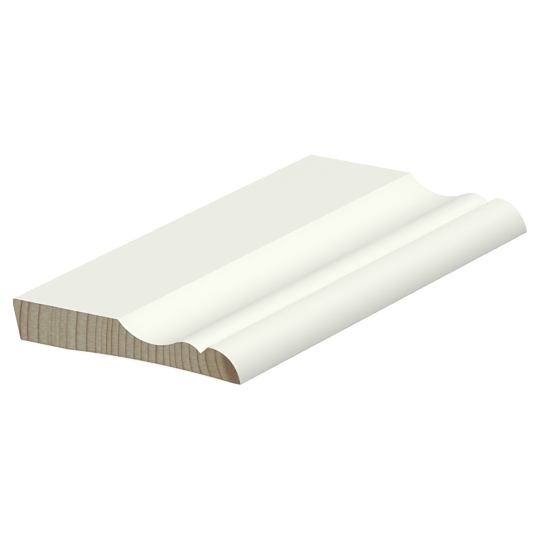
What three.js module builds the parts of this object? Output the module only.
import * as THREE from 'three';

// A short length of painted softwood skirting board, sawn square at both ends and lying on its back.
// Millimetres. X runs across the width from the floor edge to the nose, Y along the length and
// Z up from the back to the face. The origin is at the middle of the underside.

const WIDTH = 95;
const THICKNESS = 15;
const LENGTH = 202;

// The floor edge: a narrow square land under the face, then an undercut that leans in to the back.
const EDGE_LAND = 2.5;
const EDGE_UNDERCUT = 3.1;

// The hollow: a wide cove that starts at a sharp arris on the flat face.
const HOLLOW_CENTRE_X = 59.1;
const HOLLOW_RADIUS = 20;
const HOLLOW_FLOOR_Z = 8.45;

// The bead: a small round that the hollow runs into without a corner.
const BEAD_CENTRE_X = 72.05;
const BEAD_RADIUS = 8.5;

// The groove: a narrow V between the bead and the nose.
const GROOVE_BOTTOM_X = 78.5;
const GROOVE_CREST_X = 81.6;

// The nose: part of a superellipse, which is fuller in the shoulder than an ellipse, whose fullness
// is 2. Its centre lies below the back, so that it meets the back just short of upright.
const NOSE_CENTRE_X = 80.6;
const NOSE_CENTRE_Z = -6;
const NOSE_TOP_Z = 11.43;
const NOSE_FULLNESS = 2.4;
const NOSE_FACETS = 30;

// The back: a wide foot, a shallow hollow relief that keeps the middle off the wall, a narrow foot.
const RELIEF_START_X = 23.3;
const RELIEF_END_X = 91.8;
const RELIEF_DEPTH = 1.4;

// How far a straight facet may lie from its true curve.
const FACET_TOLERANCE = 0.008;

const PAINT_COLOUR = 0xf0f0e8;
const PAINT_ROUGHNESS = 0.5;

// The third side of a right triangle.
function leg(hypotenuse, side) {
  return Math.sqrt(hypotenuse ** 2 - side ** 2);
}

// Points along an elliptical arc between two angles, in facets of equal angle.
function arc(centreX, centreZ, radiusX, radiusZ, from, to) {
  const facetAngle = 2 * Math.acos(1 - FACET_TOLERANCE / Math.max(radiusX, radiusZ));
  const facets = Math.ceil(Math.abs(to - from) / facetAngle);
  return new THREE.EllipseCurve(centreX, centreZ, radiusX, radiusZ, from, to, to < from).getPoints(facets);
}

// The hollow from its arris on the face to where the bead takes over, and the bead from there to
// the bottom of the groove. Two round stretches that touch have their centres one radius sum apart.
function hollowAndBead() {
  const hollowCentreZ = HOLLOW_FLOOR_Z + HOLLOW_RADIUS;
  const across = BEAD_CENTRE_X - HOLLOW_CENTRE_X;
  const beadCentreZ = hollowCentreZ - leg(HOLLOW_RADIUS + BEAD_RADIUS, across);
  const meeting = Math.atan2(beadCentreZ - hollowCentreZ, across);
  const arris = -Math.PI - Math.asin((THICKNESS - hollowCentreZ) / HOLLOW_RADIUS);
  const groove = Math.acos((GROOVE_BOTTOM_X - BEAD_CENTRE_X) / BEAD_RADIUS);
  const hollow = arc(HOLLOW_CENTRE_X, hollowCentreZ, HOLLOW_RADIUS, HOLLOW_RADIUS, arris, meeting);
  const bead = arc(BEAD_CENTRE_X, beadCentreZ, BEAD_RADIUS, BEAD_RADIUS, meeting + Math.PI, groove);
  return [...hollow, ...bead.slice(1)];
}

// The nose from the crest of the groove down to the outer edge of the back: at each angle, reach
// times a power of its cosine across and rise times the same power of its sine up.
function nose() {
  const power = 2 / NOSE_FULLNESS;
  const rise = NOSE_TOP_Z - NOSE_CENTRE_Z;
  const edgeAngle = Math.asin((-NOSE_CENTRE_Z / rise) ** (1 / power));
  const reach = (WIDTH - NOSE_CENTRE_X) / Math.cos(edgeAngle) ** power;
  const crestAngle = Math.acos(((GROOVE_CREST_X - NOSE_CENTRE_X) / reach) ** (1 / power));
  return Array.from({ length: NOSE_FACETS + 1 }, (_, index) => {
    const angle = THREE.MathUtils.lerp(crestAngle, edgeAngle, index / NOSE_FACETS);
    return new THREE.Vector2(
      NOSE_CENTRE_X + reach * Math.cos(angle) ** power,
      NOSE_CENTRE_Z + rise * Math.sin(angle) ** power,
    );
  });
}

// The relief from the narrow foot back to the wide one: an arc through both ends and its depth.
function relief() {
  const halfSpan = (RELIEF_END_X - RELIEF_START_X) / 2;
  const radius = (halfSpan ** 2 + RELIEF_DEPTH ** 2) / (2 * RELIEF_DEPTH);
  const halfAngle = Math.asin(halfSpan / radius);
  const middleX = (RELIEF_START_X + RELIEF_END_X) / 2;
  const upright = Math.PI / 2;
  return arc(middleX, RELIEF_DEPTH - radius, radius, radius, upright - halfAngle, upright + halfAngle);
}

// The section of the board, clockwise from the floor edge of the face.
function section() {
  return new THREE.Shape([
    new THREE.Vector2(0, THICKNESS),
    ...hollowAndBead(),
    ...nose(),
    ...relief(),
    new THREE.Vector2(EDGE_UNDERCUT, 0),
    new THREE.Vector2(0, THICKNESS - EDGE_LAND),
  ]);
}

const paintedPine = new THREE.MeshStandardMaterial({
  color: PAINT_COLOUR,
  roughness: PAINT_ROUGHNESS,
  metalness: 0,
});

// The section is drawn upright and drawn out along the length, then turned to lie along Y.
const board = new THREE.Mesh(
  new THREE.ExtrudeGeometry(section(), { depth: LENGTH, bevelEnabled: false }),
  paintedPine,
);
board.name = 'skirting_board';
board.rotation.x = Math.PI / 2;
board.position.set(-WIDTH / 2, LENGTH / 2, 0);

const skirting = new THREE.Group();
skirting.add(board);

export default skirting;
